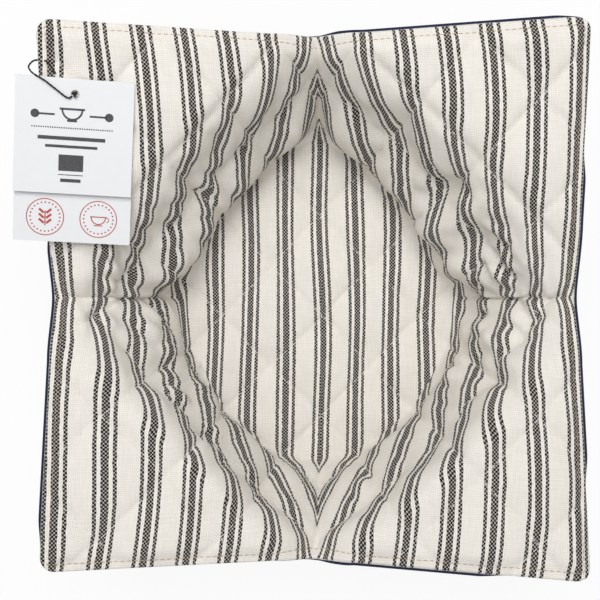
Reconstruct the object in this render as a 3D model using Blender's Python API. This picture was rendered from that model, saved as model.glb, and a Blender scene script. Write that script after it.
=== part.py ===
# Bowl cozy: a square quilted pad of striped cotton, drawn up into a bowl by one dart in the middle
# of each side, with a folded card tag that hangs on a string at one corner.
# Metres, +Z up. The origin is the middle of the rim's outline, on the surface that the base stands on.

import math

import bmesh
import bpy
from mathutils import Matrix, Vector

# The pad's outline, seen from above
RIM_SPAN = 0.2600  # from side to side of the square that the corners reach
CORNER_RADIUS = 0.0070
NOTCH_INSET = 0.0030  # how far a dart draws in the middle of its side

# The bowl's form, measured on the inner face above the inner base
FOOT_REACH_X = 0.0820  # middle of the base to the tip of the left and right darts
FOOT_REACH_Y = 0.0960  # the same, to the tip of the front and back darts
FOOT_SQUARENESS = 1.7  # form of the wall's foot from dart to dart: 1 is a diamond, 2 an ellipse
FOOT_DRAWS = {(-1, 1): 0.10, (1, 1): 0.165, (-1, -1): -0.01, (1, -1): 0.01}  # each quarter's foot, inwards
BASE_SHIFT_X = 0.0055  # the base lies this far to the right under the rim
NOTCH_RISE = 0.0740  # where the wall folds over beside a dart
CORNER_RISE = 0.0900  # the tip of a corner flap
FOLD_AT_DART = 0.0920  # distance of the fold from the middle, across the wall
FOLD_AT_CORNER = 0.1000  # the same, where the fold crosses a diagonal
FOOT_ROUND = 0.12  # share of the wall over which its foot is rounded
WALL_BULGE = 0.30  # 0 is a straight wall, 1 one that starts twice as steep and ends level
WALL_BULGE_DARTS = 0.35  # more of it beside every dart
WALL_BULGE_SIDES = 0.15  # more of it at the side darts, less at the front and back ones
BEND_HEIGHT = 0.0170  # height over which the fold is rounded
SEAM_SOFTNESS = 0.0060  # rounding of the valley along a dart's seam

# The layers of the pad
COTTON = 0.0006
BATTING_LOFT = 0.0030
LAYER_GAP = 0.0003
EDGE_TAPER = 0.0100  # width in which the pad thins towards the rim
SEAM_ALLOWANCE = 0.0030  # rim without batting, where both cottons are sewn together

# Quilting: stitch lines at 45 degrees to the stripes, and the loose waves of the wall
QUILT_SPACING = 0.0417
QUILT_PHASE = 0.0075
QUILT_PUFF = 0.0012
DART_HALF_WIDTH = 0.0366  # cloth that each dart takes in, on either side of its seam
GATHER_SOFTNESS = 0.2  # share of the wall over which the gathering ends
WALL_WAVE = 0.0022
WALL_WAVE_LENGTH = 0.0330
ROLL_BACK = 0.0045  # soft roll of the padding above the foot of the back walls
ROLL_FRONT = 0.0014  # the same, of the front walls
ROLL_PLACE = 0.26  # share of the way up the wall
ROLL_WIDTH = 0.20

# The hang tag: one folded card, and the string that ties it to the pad
TAG_WIDTH = 0.0545
TAG_BACK_LENGTH = 0.0760
TAG_FRONT_LENGTH = 0.0530
TAG_CARD = 0.0004
TAG_LEAF_GAP = 0.0006
TAG_LEAF_LIFT = 0.0012
TAG_HOLE_RADIUS = 0.0020
TAG_HOLE_DROP = 0.0066
TAG_TURN = math.radians(-2.9)
TAG_FROM_SIDE = 0.0180  # from the pad's side to the tag's middle, inwards
TAG_FROM_BACK = 0.0279  # from the pad's back edge to the tag's fold
TAG_CLEARANCE = 0.0003
STRING_DIAMETER = 0.0009
PIERCING_RADIUS = 0.0011
PIERCING_FROM_SIDE = 0.0034
PIERCING_FROM_BACK = 0.0186
KNOT_RADIUS = 0.0013
KNOT_FLATNESS = 0.7

# Mesh density: lines from the middle to the rim in each quarter, and rings in each zone
SPOKES = 20
BASE_RINGS = (0.34, 0.64, 0.88)
WALL_RINGS = (-0.1, 0.04, 0.18, 0.38, 0.6, 0.8, 0.95)
FLAP_RINGS = (0.08, 0.35, 0.68, 1.0)
FOLD_LIMIT = 0.8  # beside a dart the fold would lie past the rim, so it stops here
CORNER_CROWDING = 0.75  # draws the lines closer together towards a corner

# Worked out from the sizes above
HALF_SPAN = RIM_SPAN / 2
ROOT2 = math.sqrt(2)
CORNER_DISTANCE = HALF_SPAN * ROOT2
FLAP_SLOPE = (CORNER_RISE - NOTCH_RISE) / (CORNER_DISTANCE - FOLD_AT_DART)
STACK = 2 * COTTON + 2 * LAYER_GAP + BATTING_LOFT

# Hand-chosen points of the string, from the knot on the tag, over the tag's fold, round the pad's
# side, up through the pierced hole and back below the tag
STRING_ROUTE = (
    (-0.1131, 0.0940, 0.0930),
    (-0.1145, 0.0932, 0.0932),
    (-0.1162, 0.0938, 0.0935),
    (-0.1188, 0.0958, 0.0940),
    (-0.1222, 0.0985, 0.0948),
    (-0.1253, 0.1009, 0.0954),
    (-0.1283, 0.1027, 0.0956),
    (-0.1312, 0.1046, 0.0951),
    (-0.1332, 0.1074, 0.0937),
    (-0.1330, 0.1100, 0.0913),
    (-0.1320, 0.1119, 0.0890),
    (-0.1296, 0.1125, 0.0875),
    (-0.1277, 0.1121, 0.0868),
    (-0.1268, 0.1114, 0.0877),
    (-0.1266, 0.1113, 0.0898),
    (-0.1263, 0.1111, 0.0914),
    (-0.1251, 0.1105, 0.0924),
    (-0.1232, 0.1083, 0.0923),
    (-0.1212, 0.1052, 0.0920),
    (-0.1184, 0.1025, 0.0914),
    (-0.1148, 0.0988, 0.0906),
    (-0.1129, 0.0964, 0.0901),
    (-0.1121, 0.0954, 0.0905),
    (-0.1120, 0.0952, 0.0920),
)
STRING_POINTS = 70


def clear_scene():
    for thing in list(bpy.data.objects):
        bpy.data.objects.remove(thing)


def material(name, colour, roughness):
    made = bpy.data.materials.new(name)
    made.use_nodes = True
    shader = made.node_tree.nodes["Principled BSDF"]
    shader.inputs["Base Color"].default_value = (*colour, 1.0)
    shader.inputs["Roughness"].default_value = roughness
    shader.inputs["Metallic"].default_value = 0.0
    return made


def smooth_min(a, b, width):
    overlap = max(width - abs(a - b), 0.0) / width
    return min(a, b) - overlap * overlap * width / 4


def smooth_max(a, b, width):
    return -smooth_min(-a, -b, width)


def smooth_step(low, high, value):
    share = min(max((value - low) / (high - low), 0.0), 1.0)
    return share * share * (3 - 2 * share)


def under_rim(x, y):
    """The plan point measured from the shifted middle of the base."""
    reach = min(max(abs(x), abs(y)) / HALF_SPAN, 1.0)
    return x - BASE_SHIFT_X * (1 - reach**4), y


def flap_height(distance):
    return NOTCH_RISE + FLAP_SLOPE * (distance - FOLD_AT_DART)


def fold_distance(sideways):
    return FOLD_AT_CORNER + (FOLD_AT_DART - FOLD_AT_CORNER) * sideways**2


def foot_draw(x, y):
    """How much nearer the middle the foot lies here than its even line."""
    right = smooth_step(-0.02, 0.02, x)
    back = smooth_step(-0.02, 0.02, y)
    draw = 0.0
    for (side_x, side_y), amount in FOOT_DRAWS.items():
        draw += amount * (right if side_x > 0 else 1 - right) * (back if side_y > 0 else 1 - back)
    return draw


def wall_place(x, y, softness):
    """Share of the way up the wall, how sideways the point lies, its fold's distance, its own distance."""
    soft_x = math.hypot(x, softness)
    soft_y = math.hypot(y, softness)
    out = (soft_x + soft_y) / ROOT2
    sideways = (soft_x - soft_y) / (soft_x + soft_y)
    fold = fold_distance(sideways)
    power = FOOT_SQUARENESS
    reach = ((soft_x / FOOT_REACH_X) ** power + (soft_y / FOOT_REACH_Y) ** power) ** (1 / power)
    reach /= 1 - foot_draw(x, y) * (1 - sideways**2)
    share = (reach - 1) / (reach * fold / out - 1)
    return smooth_max(0.0, share, FOOT_ROUND), sideways, fold, out


def bulged(share, bulge):
    """A wall's profile: it starts steeper than straight and goes on evenly past the fold."""
    return share + bulge * share * (1 - share) if share < 1 else 1 + (1 - bulge) * (share - 1)


def wall_bulge(sideways):
    return WALL_BULGE + WALL_BULGE_DARTS * sideways**2 + WALL_BULGE_SIDES * sideways


def rise(x, y):
    """Height of the inner face above the inner base, over a plan point."""
    share, sideways, fold, out = wall_place(*under_rim(x, y), SEAM_SOFTNESS)
    wall = flap_height(fold) * bulged(share, wall_bulge(sideways))
    return smooth_min(wall, flap_height(out), BEND_HEIGHT)


def face_normal(x, y):
    step = 0.0005
    slope_x = (rise(x + step, y) - rise(x - step, y)) / (2 * step)
    slope_y = (rise(x, y + step) - rise(x, y - step)) / (2 * step)
    return Vector((-slope_x, -slope_y, 1.0)).normalized()


def cloth_point(x, y):
    """The flat cloth's own point that lies over a plan point."""
    x, y = under_rim(x, y)
    share, sideways, _, _ = wall_place(x, y, 0.00001)
    gathered = DART_HALF_WIDTH * bulged(smooth_min(share, 1.0, GATHER_SOFTNESS), wall_bulge(sideways))
    return math.copysign(abs(x) + gathered, x), math.copysign(abs(y) + gathered, y)


def quilt_puff(x, y):
    u, v = cloth_point(x, y)
    first = math.sin(math.pi * ((u + v) / ROOT2 + QUILT_PHASE) / QUILT_SPACING)
    second = math.sin(math.pi * ((u - v) / ROOT2 - QUILT_PHASE) / QUILT_SPACING)
    return QUILT_PUFF * math.sqrt(abs(first * second))


def wall_wave(x, y):
    """Loose waves and the soft roll of the wall, nil on the seams and on the base."""
    x, y = under_rim(x, y)
    share, sideways, _, out = wall_place(x, y, SEAM_SOFTNESS)
    share = min(share, 1.0)
    quarter = (0.0 if x > 0 else 1.3) + (0.0 if y > 0 else 2.6)
    turn = 2 * math.pi * sideways * out / WALL_WAVE_LENGTH + quarter
    turn += 1.6 * math.sin(2.4 * math.pi * share + quarter)
    wave = WALL_WAVE * math.sin(math.pi * share) * math.sin(turn)
    roll = ROLL_FRONT + (ROLL_BACK - ROLL_FRONT) * smooth_step(-0.02, 0.02, y)
    roll *= math.exp(-(((share - ROLL_PLACE) / ROLL_WIDTH) ** 2)) * smooth_step(0.0, 0.12, share)
    return (wave + roll) * smooth_step(0.0, 0.016, min(abs(x), abs(y)))


def outline_point(share):
    """A point of the outline in the first quarter, from its side notch, by the corner, to its back notch."""
    along = 2 * share if share <= 0.5 else 2 - 2 * share
    along = 1 - (1 - along) ** (1 / CORNER_CROWDING)
    long, short = HALF_SPAN * along, HALF_SPAN - NOTCH_INSET * (1 - along)
    centre = HALF_SPAN - CORNER_RADIUS
    if long > centre:
        turn = math.pi / 4 * (long - centre) / CORNER_RADIUS
        long = centre + CORNER_RADIUS * math.sin(turn)
        short = centre + CORNER_RADIUS * math.cos(turn)
    return Vector((short, long)) if share <= 0.5 else Vector((long, short))


def spoke(share, side_x, side_y):
    """Plan points of one quarter from the middle of the base to the rim; the rim is the last one."""
    base = Vector((FOOT_REACH_X * (1 - share), FOOT_REACH_Y * share))
    power = FOOT_SQUARENESS
    sideways = (base.x - base.y) / (base.x + base.y)
    base /= ((1 - share) ** power + share**power) ** (1 / power)
    base *= 1 - foot_draw(base.x * side_x, base.y * side_y) * (1 - sideways**2)
    rim = outline_point(share)
    start, end = (base.x + base.y) / ROOT2, (rim.x + rim.y) / ROOT2
    fold_share = (fold_distance(sideways) - start) / (end - start)
    fold = base.lerp(rim, min(fold_share, FOLD_LIMIT))
    hem = rim - (rim - fold).normalized() * SEAM_ALLOWANCE
    points = [base * ring for ring in BASE_RINGS]
    points += [base.lerp(fold, ring) for ring in WALL_RINGS]
    points += [fold.lerp(hem, ring) for ring in FLAP_RINGS]
    return [Vector((point.x * side_x, point.y * side_y)) for point in [*points, rim]]


def moved_under_rim(point):
    """Shifts a spoke's point with the base, so that the lines follow the darts."""
    reach = min(max(abs(point.x), abs(point.y)) / HALF_SPAN, 1.0)
    return Vector((point.x + BASE_SHIFT_X * (1 - reach**4), point.y))


def all_spokes():
    spokes = []
    for quarter in range(4):
        for step in range(SPOKES):
            share = step / SPOKES
            side_x = 1 if quarter in (0, 3) else -1
            side_y = 1 if quarter in (0, 1) else -1
            points = spoke(share if quarter % 2 == 0 else 1 - share, side_x, side_y)
            spokes.append([moved_under_rim(point) for point in points])
    return spokes


def layer_depths(name):
    """How deep below the inner face a layer starts and ends, in the full pad and at the rim."""
    thin = STACK / 2
    full = {
        "inner_panel": (0.0, COTTON),
        "batting": (COTTON + LAYER_GAP, COTTON + LAYER_GAP + BATTING_LOFT),
        "outer_panel": (STACK - COTTON, STACK),
    }
    rim = {
        "inner_panel": (thin - COTTON - LAYER_GAP / 2, thin - LAYER_GAP / 2),
        "batting": (thin, thin),
        "outer_panel": (thin + LAYER_GAP / 2, thin + LAYER_GAP / 2 + COTTON),
    }
    return full[name], rim[name]


def layer_point(plan, from_rim, name, face):
    """A point of a layer's upper (0) or lower (1) face."""
    x, y = plan
    full_depths, rim_depths = layer_depths(name)
    share = smooth_step(0.0, EDGE_TAPER, from_rim)
    depth = rim_depths[face] + (full_depths[face] - rim_depths[face]) * share
    sign = 1 if name == "inner_panel" or (name == "batting" and face == 0) else -1
    puff = quilt_puff(x, y) * share
    if sign < 0:
        puff *= smooth_step(0.0, NOTCH_RISE / 2, rise(x, y))
    lifted = wall_wave(x, y) * share + sign * puff - depth
    return Vector((x, y, STACK + rise(x, y))) + face_normal(x, y) * lifted


def make_layer(name, spokes, rings, finish):
    mesh = bmesh.new()
    faces = []
    for face in (0, 1):
        middle = Vector((BASE_SHIFT_X, 0.0))
        centre = mesh.verts.new(layer_point(middle, HALF_SPAN, name, face))
        rows = []
        for plan in spokes:
            rim = plan[-1]
            row = [mesh.verts.new(layer_point(p, (rim - p).length, name, face)) for p in plan[:rings]]
            rows.append(row)
        faces.append((centre, rows))
    count = len(spokes)
    for centre, rows in faces:
        for i in range(count):
            near, far = rows[i], rows[(i + 1) % count]
            mesh.faces.new((centre, near[0], far[0]))
            for k in range(rings - 1):
                mesh.faces.new((near[k], near[k + 1], far[k + 1]))
                mesh.faces.new((near[k], far[k + 1], far[k]))
    upper, lower = faces[0][1], faces[1][1]
    for i in range(count):
        j = (i + 1) % count
        mesh.faces.new((upper[i][-1], lower[i][-1], lower[j][-1], upper[j][-1]))
    return finish_mesh(name, mesh, finish)


def finish_mesh(name, mesh, finish):
    bmesh.ops.recalc_face_normals(mesh, faces=mesh.faces)
    data = bpy.data.meshes.new(name)
    mesh.to_mesh(data)
    mesh.free()
    data.materials.append(finish)
    data.shade_smooth()
    made = bpy.data.objects.new(name, data)
    bpy.context.collection.objects.link(made)
    return made


def pierce(pieces, place, direction, radius, length, name):
    """Cuts one round hole through the pieces with a cylinder that isn't itself a piece."""
    mesh = bmesh.new()
    bmesh.ops.create_cone(mesh, cap_ends=True, segments=12, radius1=radius, radius2=radius, depth=length)
    data = bpy.data.meshes.new(name)
    mesh.to_mesh(data)
    mesh.free()
    cutter = bpy.data.objects.new(name, data)
    bpy.context.collection.objects.link(cutter)
    turn = Vector((0, 0, 1)).rotation_difference(direction)
    cutter.matrix_world = Matrix.Translation(place) @ turn.to_matrix().to_4x4()
    cutter.hide_render = True
    cutter.display_type = "WIRE"
    for piece in pieces:
        cut = piece.modifiers.new("pierced hole", "BOOLEAN")
        cut.operation = "DIFFERENCE"
        cut.solver = "EXACT"
        cut.object = cutter


def tag_placement():
    """Matrix of the tag: it lies on the back left corner flap, its fold's middle at the origin."""
    plan = Vector((TAG_FROM_SIDE - HALF_SPAN, HALF_SPAN - TAG_FROM_BACK))
    out = (abs(plan.x) + abs(plan.y)) / ROOT2
    slope = FLAP_SLOPE / ROOT2
    normal = Vector((slope, -slope, 1.0)).normalized()
    seat = Vector((plan.x, plan.y, STACK + flap_height(out)))
    seat += normal * (QUILT_PUFF + TAG_CLEARANCE + STRING_DIAMETER)
    tilt = Vector((0, 0, 1)).rotation_difference(normal)
    return Matrix.Translation(seat) @ tilt.to_matrix().to_4x4() @ Matrix.Rotation(TAG_TURN, 4, "Z")


def tag_profile():
    """Side view of the folded card: the back leaf, the round fold and the shorter front leaf."""
    outer = TAG_CARD + TAG_LEAF_GAP / 2
    inner = TAG_LEAF_GAP / 2
    turns = [math.radians(angle) for angle in range(-90, 91, 30)]
    profile = [(-TAG_BACK_LENGTH, 0.0)]
    profile += [(outer * math.cos(turn), outer + outer * math.sin(turn)) for turn in turns]
    profile.append((-TAG_FRONT_LENGTH, 2 * outer + TAG_LEAF_LIFT))
    profile.append((-TAG_FRONT_LENGTH, 2 * outer - TAG_CARD + TAG_LEAF_LIFT))
    profile += [(inner * math.cos(turn), outer + inner * math.sin(turn)) for turn in reversed(turns)]
    profile.append((-TAG_BACK_LENGTH, TAG_CARD))
    return profile


def make_tag(finish):
    mesh = bmesh.new()
    side = [mesh.verts.new((-TAG_WIDTH / 2, y, z)) for y, z in tag_profile()]
    face = mesh.faces.new(side)
    swept = bmesh.ops.extrude_face_region(mesh, geom=[face])["geom"]
    moved = [item for item in swept if isinstance(item, bmesh.types.BMVert)]
    bmesh.ops.translate(mesh, verts=moved, vec=(TAG_WIDTH, 0, 0))
    tag = finish_mesh("tag_card", mesh, finish)
    tag.data.shade_flat()
    placement = tag_placement()
    tag.matrix_world = placement
    hole = placement @ Vector((0, -TAG_HOLE_DROP, 0))
    normal = placement.to_3x3() @ Vector((0, 0, 1))
    pierce([tag], hole, normal, TAG_HOLE_RADIUS, 0.02, "tag_hole_cutter")
    return tag


def smooth_route(route, count):
    """Points at even shares of a curve that runs smoothly through the route's own points."""
    points = [Vector(point) for point in route]
    points = [2 * points[0] - points[1], *points, 2 * points[-1] - points[-2]]
    runs = len(points) - 3
    smooth = []
    for step in range(count):
        place = runs * step / (count - 1)
        i = min(int(place), runs - 1)
        t = place - i
        a, b, c, d = points[i : i + 4]
        curve = 2 * b + (c - a) * t + (2 * a - 5 * b + 4 * c - d) * t**2 + (3 * b - a - 3 * c + d) * t**3
        smooth.append(curve / 2)
    return smooth


def make_string(finish):
    data = bpy.data.curves.new("tag_string", "CURVE")
    data.dimensions = "3D"
    data.bevel_depth = STRING_DIAMETER / 2
    data.bevel_resolution = 2
    data.use_fill_caps = True
    line = data.splines.new("POLY")
    points = smooth_route(STRING_ROUTE, STRING_POINTS)
    line.points.add(len(points) - 1)
    for place, point in zip(line.points, points):
        place.co = (*point, 1.0)
    data.materials.append(finish)
    made = bpy.data.objects.new("tag_string", data)
    bpy.context.collection.objects.link(made)


def make_knot(finish):
    """The string's knot, pressed a little flat where it sits over the tag's hole."""
    mesh = bmesh.new()
    bmesh.ops.create_uvsphere(mesh, u_segments=12, v_segments=8, radius=KNOT_RADIUS)
    bmesh.ops.scale(mesh, verts=mesh.verts, vec=(1, 1, KNOT_FLATNESS))
    knot = finish_mesh("string_knot", mesh, finish)
    leaves = 2 * TAG_CARD + TAG_LEAF_GAP + TAG_LEAF_LIFT * TAG_HOLE_DROP / TAG_FRONT_LENGTH
    seat = leaves + TAG_CLEARANCE + KNOT_RADIUS * KNOT_FLATNESS
    knot.matrix_world = tag_placement() @ Matrix.Translation((0, -TAG_HOLE_DROP, seat))


def main():
    clear_scene()
    cotton_stripe = material("cream striped cotton", (0.84, 0.80, 0.73), 0.85)
    cotton_navy = material("navy cotton", (0.012, 0.014, 0.035), 0.85)
    wadding = material("cotton batting", (0.86, 0.85, 0.82), 0.95)
    card = material("white card", (0.90, 0.90, 0.90), 0.55)
    thread = material("dark string", (0.02, 0.02, 0.022), 0.80)
    spokes = all_spokes()
    rings = len(spokes[0])
    layers = [
        make_layer("inner_panel", spokes, rings, cotton_stripe),
        make_layer("batting", spokes, rings - 1, wadding),
        make_layer("outer_panel", spokes, rings, cotton_navy),
    ]
    hole = Vector((PIERCING_FROM_SIDE - HALF_SPAN, HALF_SPAN - PIERCING_FROM_BACK))
    place = Vector((hole.x, hole.y, STACK + rise(hole.x, hole.y)))
    pierce(layers, place, face_normal(hole.x, hole.y), PIERCING_RADIUS, 0.02, "piercing_cutter")
    make_tag(card)
    make_string(thread)
    make_knot(thread)


main()
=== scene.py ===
import math
from functools import partial

import bmesh
import bpy
import numpy as np
from mathutils import Matrix, Vector
from mathutils.bvhtree import BVHTree
from mathutils.geometry import barycentric_transform


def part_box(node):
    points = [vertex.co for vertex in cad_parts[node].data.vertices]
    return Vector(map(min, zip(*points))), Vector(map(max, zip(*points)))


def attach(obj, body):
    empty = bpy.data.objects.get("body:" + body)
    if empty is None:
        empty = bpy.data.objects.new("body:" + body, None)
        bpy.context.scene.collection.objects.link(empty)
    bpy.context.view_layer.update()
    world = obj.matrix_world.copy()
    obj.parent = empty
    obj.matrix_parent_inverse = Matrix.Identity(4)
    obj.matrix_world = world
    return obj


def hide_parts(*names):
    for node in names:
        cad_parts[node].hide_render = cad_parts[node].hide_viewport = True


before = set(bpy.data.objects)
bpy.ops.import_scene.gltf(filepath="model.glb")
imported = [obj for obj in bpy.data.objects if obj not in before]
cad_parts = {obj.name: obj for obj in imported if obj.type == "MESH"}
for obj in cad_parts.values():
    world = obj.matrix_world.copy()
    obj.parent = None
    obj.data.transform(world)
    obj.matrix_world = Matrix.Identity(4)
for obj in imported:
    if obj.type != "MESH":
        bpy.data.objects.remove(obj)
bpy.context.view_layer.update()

mm = 0.001
root2 = math.sqrt(2)
print("frame loaded")

# Camera and light

view = {"x": -0.0066, "y": -0.0012, "height": 0.4824, "lens": 50.0, "sensor": 36.0}
light = {
    "keyPower": 8.8,
    "keySize": 0.8,
    "keyPlace": (-0.06, 0.47, 1.02),
    "fillPower": 3.7,
    "fillSize": 1.2,
    "fillPlace": (-0.1, -0.75, 1.05),
    "aim": (0.0, 0.0, 0.05),
    "skyStrength": 0.27,
    "floorGlow": 0.90,
    "floorSize": 6.0,
    "floorDrop": 0.0002,  # m below the pad, so that the two don't coincide
}


def hexColour(code):
    # sRGB hex to the linear values that shaders take
    parts = [int(code[i : i + 2], 16) / 255 for i in (1, 3, 5)]
    return [p / 12.92 if p <= 0.04045 else ((p + 0.055) / 1.055) ** 2.4 for p in parts] + [1.0]


def addNode(tree, kind, links=None, **settings):
    # links: input name or index -> another node's output, or a plain value
    made = tree.nodes.new(kind)
    for name, value in settings.items():
        setattr(made, name, value)
    for key, value in (links or {}).items():
        socket = made.inputs[key]
        if isinstance(value, bpy.types.NodeSocket):
            tree.links.new(value, socket)
        else:
            socket.default_value = value
    return made


def mathNode(tree, operation, *values):
    return addNode(tree, "ShaderNodeMath", dict(enumerate(values)), operation=operation).outputs[0]


def vectorNode(tree, operation, a, b):
    return addNode(tree, "ShaderNodeVectorMath", {0: a, 1: b}, operation=operation).outputs[0]


def scaledNode(tree, vector, amount):
    return addNode(tree, "ShaderNodeVectorMath", {0: vector, "Scale": amount}, operation="SCALE").outputs[0]


def noiseNode(tree, place, scale, detail, output=0):
    values = {"Vector": place, "Scale": scale, "Detail": detail}
    return addNode(tree, "ShaderNodeTexNoise", values).outputs[output]


def grainNode(tree, scale, detail):
    # fine noise in the object's own metres
    place = addNode(tree, "ShaderNodeTexCoord").outputs["Object"]
    return noiseNode(tree, place, scale, detail)


def rangeNode(tree, value, span, result):
    # maps the span, a pair of values, to the result, another pair
    ends = {0: value, 1: span[0], 2: span[1], 3: result[0], 4: result[1]}
    return addNode(tree, "ShaderNodeMapRange", ends).outputs[0]


def colourMix(tree, share, first, second):
    return addNode(tree, "ShaderNodeMix", {0: share, 6: first, 7: second}, data_type="RGBA").outputs[2]


def newMaterial(name):
    made = bpy.data.materials.new(name)
    made.use_nodes = True
    tree = made.node_tree
    tree.nodes.clear()
    shader = addNode(tree, "ShaderNodeBsdfPrincipled")
    output = addNode(tree, "ShaderNodeOutputMaterial", {"Surface": shader.outputs[0]})
    return made, tree, shader, output


def finishShader(tree, shader, colour, height, look, roughness):
    bump = addNode(tree, "ShaderNodeBump", {"Height": height, "Distance": look["depth"] * mm,
                                            "Strength": look["strength"]})
    tree.links.new(colour, shader.inputs["Base Color"])
    tree.links.new(bump.outputs[0], shader.inputs["Normal"])
    shader.inputs["Roughness"].default_value = roughness
    shader.inputs["Sheen Weight"].default_value = look["sheen"]


# Plain-woven cottons: a warp thread and a weft thread cross about every 0.87 mm, as on the real cloth

weave = {
    "warpPitch": 20.8 / 24,  # mm; 24 warp threads to one repeat of the stripe
    "weftPitch": 0.93,
    "repeat": 24.0,  # threads
    "thickHalf": 2.0,  # half of the 4 dark threads of the thick stripe
    "thinInner": 4.0,
    "thinOuter": 6.0,
    "weftShow": 0.43,  # half of a thread's cell where a light weft covers a dark warp
    "paintedWeftShade": 0.50,  # painted shade: how much darker the sunken weft is drawn there
    "wander": 0.9,  # mm of noise, which moves a thread by about a tenth of a millimetre
    "wanderScale": 0.35,
    "slub": (1.1, 0.09),  # noise scales across and along a thread, so that its slubs are long
    "yarnSpan": (0.6, 1.4),
    "yarnTone": (0.93, 1.05),
    "paintedGapShade": (0.86, 1.05),  # painted shade in the gaps between the threads, painted light on the threads' backs
    "stripeDye": 1.7,  # noise scales of the uneven dye
    "plainDye": 0.8,
    "depth": 0.16,  # mm
    "strength": 0.7,
    "ior": 1.46,  # cotton fibre, dry
    "specular": 0.18,
    "sheen": 0.05,
    "sheenRoughness": 0.5,
}


def threadPlace(tree, along, pitch):
    # (which thread a point lies on, how far off the thread's middle, how high its round top is there)
    maths = partial(mathNode, tree)
    place = maths("DIVIDE", along, pitch)
    across = maths("ABSOLUTE", maths("SUBTRACT", maths("FRACT", place), 0.5))
    return maths("FLOOR", place), across, maths("COSINE", maths("MULTIPLY", across, math.pi))


def stripeAmount(tree, warpRow, acrossWarp, acrossWeft, overUnder):
    # 1 on the stripes' dark threads, less where the light weft covers them; painted shade keeps that sunken
    # weft dark
    maths = partial(mathNode, tree)
    half = weave["repeat"] / 2
    away = maths("ABSOLUTE", maths("WRAP", maths("ADD", warpRow, 0.5), half, -half))
    thick = maths("LESS_THAN", away, weave["thickHalf"])
    thinIn = maths("GREATER_THAN", away, weave["thinInner"])
    thinOut = maths("LESS_THAN", away, weave["thinOuter"])
    dark = maths("MAXIMUM", thick, maths("MULTIPLY", thinIn, thinOut))
    shows = maths("MULTIPLY", maths("LESS_THAN", acrossWarp, weave["weftShow"]),
                  maths("LESS_THAN", acrossWeft, weave["weftShow"]))
    weftSeen = maths("MULTIPLY", shows, maths("SUBTRACT", 1.0, overUnder))
    # painted shade: the sunken cream weft is drawn only partly paler than the dark warp
    paler = maths("MULTIPLY", weftSeen, 1 - weave["paintedWeftShade"])
    return maths("MULTIPLY", dark, maths("SUBTRACT", 1.0, paler))


def weaveMaterial(name, ground, stripe, otherDye, roughness):
    # otherDye is the second shade of the unevenly dyed yarn: of the stripes, or of the ground without them
    made, tree, shader, _ = newMaterial(name)
    maths = partial(mathNode, tree)
    cloth = addNode(tree, "ShaderNodeUVMap", uv_map="cloth").outputs[0]
    wander = noiseNode(tree, cloth, weave["wanderScale"], 3.0, "Color")
    centred = vectorNode(tree, "ADD", wander, (-0.5, -0.5, -0.5))
    thread = vectorNode(tree, "ADD", cloth, scaledNode(tree, centred, weave["wander"]))
    parts = addNode(tree, "ShaderNodeSeparateXYZ", {0: thread})
    warpRow, acrossWarp, warpRound = threadPlace(tree, parts.outputs[0], weave["warpPitch"])
    weftRow, acrossWeft, weftRound = threadPlace(tree, parts.outputs[1], weave["weftPitch"])
    overUnder = maths("FLOORED_MODULO", maths("ADD", warpRow, weftRow), 2.0)
    warpOver = maths("MULTIPLY", warpRound, maths("POWER", weftRound, 0.5))
    weftOver = maths("MULTIPLY", weftRound, maths("POWER", warpRound, 0.5))
    height = addNode(tree, "ShaderNodeMix", {0: overUnder, 2: weftOver, 3: warpOver}).outputs[0]
    across, along = weave["slub"]
    slubs = [noiseNode(tree, vectorNode(tree, "MULTIPLY", cloth, stretch), 1.0, 2.0)
             for stretch in ((across, along, 1.0), (along, across, 1.0))]
    # painted shade: the colour is darker in the gaps between the threads and lighter on their backs
    shade = rangeNode(tree, height, (0.0, 1.0), weave["paintedGapShade"])
    tone = rangeNode(tree, maths("ADD", *slubs), weave["yarnSpan"], weave["yarnTone"])
    if stripe:
        dark = stripeAmount(tree, warpRow, acrossWarp, acrossWeft, overUnder)
        spread = noiseNode(tree, cloth, weave["stripeDye"], 2.0)
        dyed = colourMix(tree, spread, hexColour(stripe), hexColour(otherDye))
        colour = colourMix(tree, dark, hexColour(ground), dyed)
    else:
        spread = noiseNode(tree, cloth, weave["plainDye"], 3.0)
        colour = colourMix(tree, spread, hexColour(ground), hexColour(otherDye))
    lit = scaledNode(tree, colour, maths("MULTIPLY", shade, tone))
    finishShader(tree, shader, lit, height, weave, roughness)
    shader.inputs["IOR"].default_value = weave["ior"]
    shader.inputs["Specular IOR Level"].default_value = weave["specular"]
    shader.inputs["Sheen Roughness"].default_value = weave["sheenRoughness"]
    return made


# Thread, card and ink: noise scales are per metre, depths in millimetres

threadLook = {"fibre": 2600.0, "tone": (0.88, 1.06), "depth": 0.05, "strength": 0.5, "sheen": 0.1}
cardLook = {"mottle": 220.0, "mottleSpan": (0.3, 0.7), "tone": (0.985, 1.0), "fibre": 3200.0, "depth": 0.02,
            "strength": 0.3, "sheen": 0.0}
inkLook = {"speck": 4200.0, "speckSpan": (0.55, 0.8), "cardShare": (0.0, 0.25)}


def threadMaterial(name, code):
    # spun cotton sewing thread, matt
    made, tree, shader, _ = newMaterial(name)
    fibre = grainNode(tree, threadLook["fibre"], 2.0)
    tone = rangeNode(tree, fibre, (0.0, 1.0), threadLook["tone"])
    finishShader(tree, shader, scaledNode(tree, hexColour(code)[:3], tone), fibre, threadLook, 0.75)
    return made


def cardMaterial():
    # uncoated white card, cut and creased: faint fibres and a hint of mottle
    made, tree, shader, _ = newMaterial("cut white card")
    mottle = grainNode(tree, cardLook["mottle"], 4.0)
    fibre = grainNode(tree, cardLook["fibre"], 2.0)
    tone = rangeNode(tree, mottle, cardLook["mottleSpan"], cardLook["tone"])
    finishShader(tree, shader, scaledNode(tree, hexColour("#E9EAEC")[:3], tone), fibre, cardLook, 0.55)
    return made


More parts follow.
